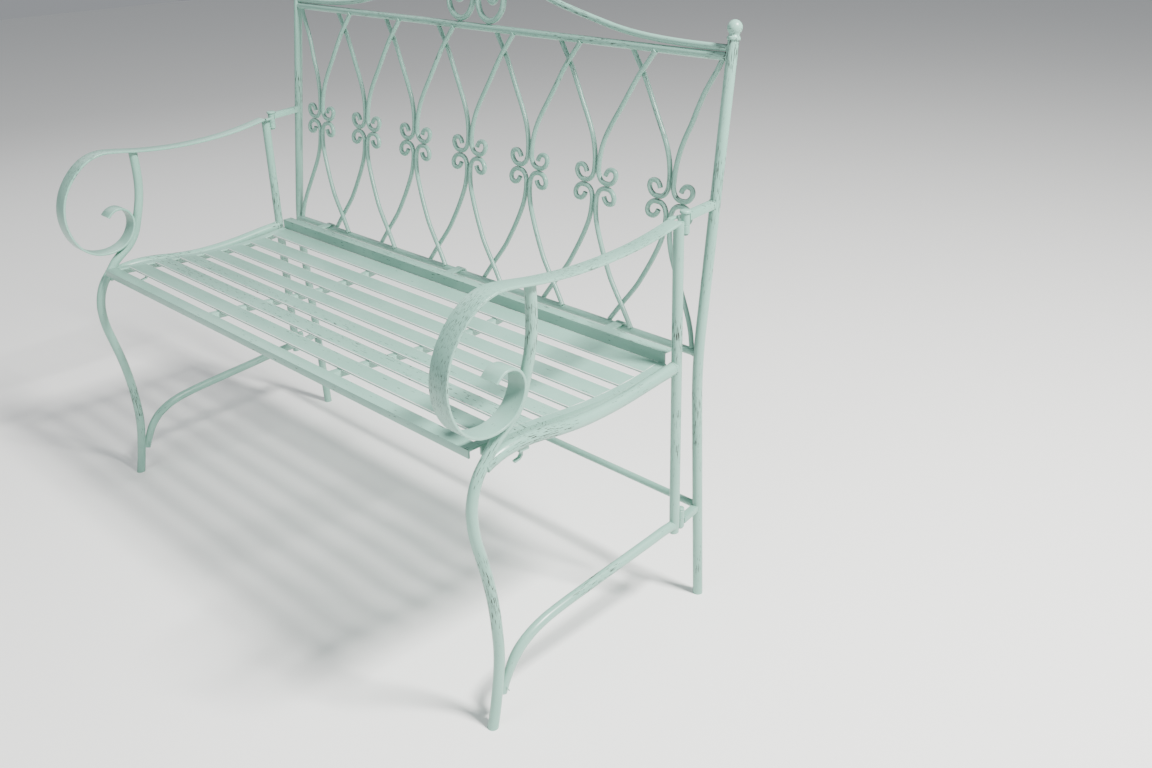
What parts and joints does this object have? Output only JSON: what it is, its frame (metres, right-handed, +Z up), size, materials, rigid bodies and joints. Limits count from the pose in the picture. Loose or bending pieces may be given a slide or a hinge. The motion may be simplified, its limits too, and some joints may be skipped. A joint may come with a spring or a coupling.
{
  "type": "garden bench",
  "caption": "Folding steel garden bench: scrolled back and armrests, slatted seat that lifts, side frames hinged on pins.",
  "frame": {"origin": "middle of the bounding box at floor level", "axes": "+X along the bench, to the right of someone who stands in front and looks at it; +Y from the front of the seat towards the back; +Z up"},
  "size_m": [1.13, 0.5648, 0.975],
  "materials": {
    "frame_paint": "satin",
    "seat_paint": "satin"
  },
  "bodies": {
    "back_frame": {"back_post_left": "frame_paint", "back_post_right": "frame_paint", "finial_left": "frame_paint", "finial_right": "frame_paint", "top_rail": "frame_paint", "seat_pivot_rail": "frame_paint", "low_back_rail": "frame_paint", "crest_left": "frame_paint", "crest_right": "frame_paint", "lattice_1_left": "frame_paint", "lattice_1_right": "frame_paint", "lattice_2_left": "frame_paint", "lattice_2_right": "frame_paint", "lattice_3_left": "frame_paint", "lattice_3_right": "frame_paint", "lattice_4_left": "frame_paint", "lattice_4_right": "frame_paint", "lattice_5_left": "frame_paint", "lattice_5_right": "frame_paint", "lattice_6_left": "frame_paint", "lattice_6_right": "frame_paint", "lattice_7_left": "frame_paint", "lattice_7_right": "frame_paint", "upper_hinge_arm_left": "frame_paint", "lower_hinge_arm_left": "frame_paint", "upper_hinge_arm_right": "frame_paint", "lower_hinge_arm_right": "frame_paint"},
    "left_side": {"rear_upright_left": "frame_paint", "front_leg_left": "frame_paint", "seat_tube_left": "frame_paint", "side_stretcher_left": "frame_paint", "armrest_left": "frame_paint", "upper_hinge_pin_left": "frame_paint", "lower_hinge_pin_left": "frame_paint", "seat_rest_left": "frame_paint"},
    "right_side": {"rear_upright_right": "frame_paint", "front_leg_right": "frame_paint", "seat_tube_right": "frame_paint", "side_stretcher_right": "frame_paint", "armrest_right": "frame_paint", "upper_hinge_pin_right": "frame_paint", "lower_hinge_pin_right": "frame_paint", "seat_rest_right": "frame_paint"},
    "seat": {"seat_back_rail": "seat_paint", "seat_front_rail": "seat_paint", "seat_side_rail_left": "seat_paint", "seat_side_rail_right": "seat_paint", "seat_slat_1": "seat_paint", "seat_slat_2": "seat_paint", "seat_slat_3": "seat_paint", "seat_slat_4": "seat_paint", "seat_slat_5": "seat_paint", "seat_slat_6": "seat_paint", "seat_slat_7": "seat_paint", "seat_support_left": "seat_paint", "seat_support_right": "seat_paint", "seat_strap_1": "seat_paint", "seat_strap_2": "seat_paint", "seat_strap_3": "seat_paint"}
  },
  "joints": [
    {"name": "seat_fold", "type": "hinge", "parent": "back_frame", "child": "seat", "pos_m": [0, 0.20598, 0.437], "axis": [-1, 0, 0], "range_deg": [0, 62]},
    {"name": "left_side_swing", "type": "hinge", "parent": "back_frame", "child": "left_side", "pos_m": [-0.548, 0.1706, 0.4], "axis": [0, 0, -1], "range_deg": [0, 90]},
    {"name": "right_side_swing", "type": "hinge", "parent": "back_frame", "child": "right_side", "pos_m": [0.548, 0.1706, 0.4], "axis": [0, 0, 1], "range_deg": [0, 90]}
  ]
}
